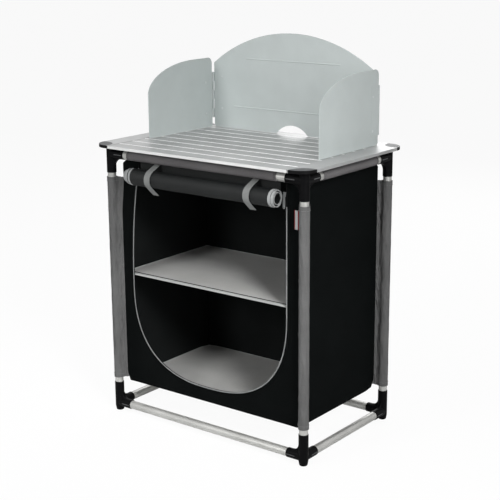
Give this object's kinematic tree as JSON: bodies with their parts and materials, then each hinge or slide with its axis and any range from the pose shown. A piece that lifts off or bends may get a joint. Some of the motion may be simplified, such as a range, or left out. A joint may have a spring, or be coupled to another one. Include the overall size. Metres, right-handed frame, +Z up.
{
  "type": "camping cupboard",
  "caption": "Fabric camping cupboard on a plug-together tube frame, with a slatted metal worktop, a folding windscreen, a middle shelf and a rolled-up zip door.",
  "frame": {"origin": "on the floor, under the middle of the worktop", "axes": "+Z up, the door side faces -Y, +X to the right seen from the front"},
  "size_m": [0.73, 0.48, 1.0903],
  "materials": {
    "silver_tube": "satin silver coated tube",
    "slat_metal": "satin metal sheet",
    "screen_metal": "satin metal sheet",
    "rivet_metal": "bright zinc-plated steel",
    "black_plastic": "finely textured moulding",
    "grey_plastic": "smooth satin moulding",
    "black_cloth": "coated woven cloth, dull",
    "grey_cloth": "woven cloth, dull",
    "dark_grey_cloth": "woven tape, dull",
    "webbing": "woven webbing"
  },
  "bodies": {
    "frame": {"upper_corner_front_left": "black_plastic", "lower_corner_front_left": "black_plastic", "leg_tube_front_left": "silver_tube", "leg_sleeve_front_left": "grey_cloth", "upper_corner_front_right": "black_plastic", "lower_corner_front_right": "black_plastic", "leg_tube_front_right": "silver_tube", "leg_sleeve_front_right": "grey_cloth", "upper_corner_back_left": "black_plastic", "lower_corner_back_left": "black_plastic", "leg_tube_back_left": "silver_tube", "leg_sleeve_back_left": "grey_cloth", "upper_corner_back_right": "black_plastic", "lower_corner_back_right": "black_plastic", "leg_tube_back_right": "silver_tube", "leg_sleeve_back_right": "grey_cloth", "upper_rail_front": "silver_tube", "upper_rail_back": "silver_tube", "upper_rail_left": "silver_tube", "upper_rail_right": "silver_tube", "lower_rail_front": "silver_tube", "lower_rail_back": "silver_tube", "lower_rail_left": "silver_tube", "lower_rail_right": "silver_tube", "front_wall": "black_cloth", "back_wall": "black_cloth", "left_wall": "black_cloth", "right_wall": "black_cloth", "door_roll": "black_cloth", "bottom_board": "grey_cloth", "middle_shelf": "grey_cloth", "door_zip": "dark_grey_cloth", "door_strap_left": "webbing", "door_strap_right": "webbing"},
    "worktop": {"worktop_corner_cap_front_left": "grey_plastic", "worktop_corner_cap_front_right": "grey_plastic", "worktop_corner_cap_back_left": "grey_plastic", "worktop_corner_cap_back_right": "grey_plastic", "worktop_side_profile_left": "slat_metal", "worktop_side_profile_right": "slat_metal", "worktop_slat_1": "slat_metal", "worktop_slat_2": "slat_metal", "worktop_slat_3": "slat_metal", "worktop_slat_4": "slat_metal", "worktop_slat_5": "slat_metal", "worktop_slat_6": "slat_metal", "worktop_slat_7": "slat_metal", "worktop_slat_8": "slat_metal", "worktop_slat_9": "slat_metal"},
    "windscreen": {"windscreen_back": "screen_metal", "hinge_back_leaf_left": "rivet_metal", "hinge_back_leaf_right": "rivet_metal", "hinge_pin_left": "rivet_metal", "hinge_pin_right": "rivet_metal"},
    "wing_left": {"windscreen_wing_left": "screen_metal", "hinge_wing_leaf_left": "rivet_metal"},
    "wing_right": {"windscreen_wing_right": "screen_metal", "hinge_wing_leaf_right": "rivet_metal"},
    "zip_slider": {"zip_slider": "rivet_metal"},
    "zip_puller": {"zip_puller": "rivet_metal"}
  },
  "joints": [
    {"name": "worktop_lift", "type": "slide", "parent": "frame", "child": "worktop", "axis": [0, 0, 1], "range_m": [0, 0.1]},
    {"name": "windscreen_lift", "type": "slide", "parent": "worktop", "child": "windscreen", "axis": [0, 0, 1], "range_m": [0, 0.1]},
    {"name": "wing_left_fold", "type": "hinge", "parent": "windscreen", "child": "wing_left", "pos_m": [-0.286, 0.2028, 0.8], "axis": [0, 0, 1], "range_deg": [-90, 90]},
    {"name": "wing_right_fold", "type": "hinge", "parent": "windscreen", "child": "wing_right", "pos_m": [0.296, 0.2028, 0.8], "axis": [0, 0, -1], "range_deg": [-90, 90]},
    {"name": "zip_slide", "type": "slide", "parent": "frame", "child": "zip_slider", "axis": [0, 0, -1], "range_m": [-0.015, 0.29]},
    {"name": "zip_pull_swing", "type": "hinge", "parent": "zip_slider", "child": "zip_puller", "pos_m": [0.2655, -0.1951, 0.7242], "axis": [-1, 0, 0], "range_deg": [0, 150]}
  ]
}
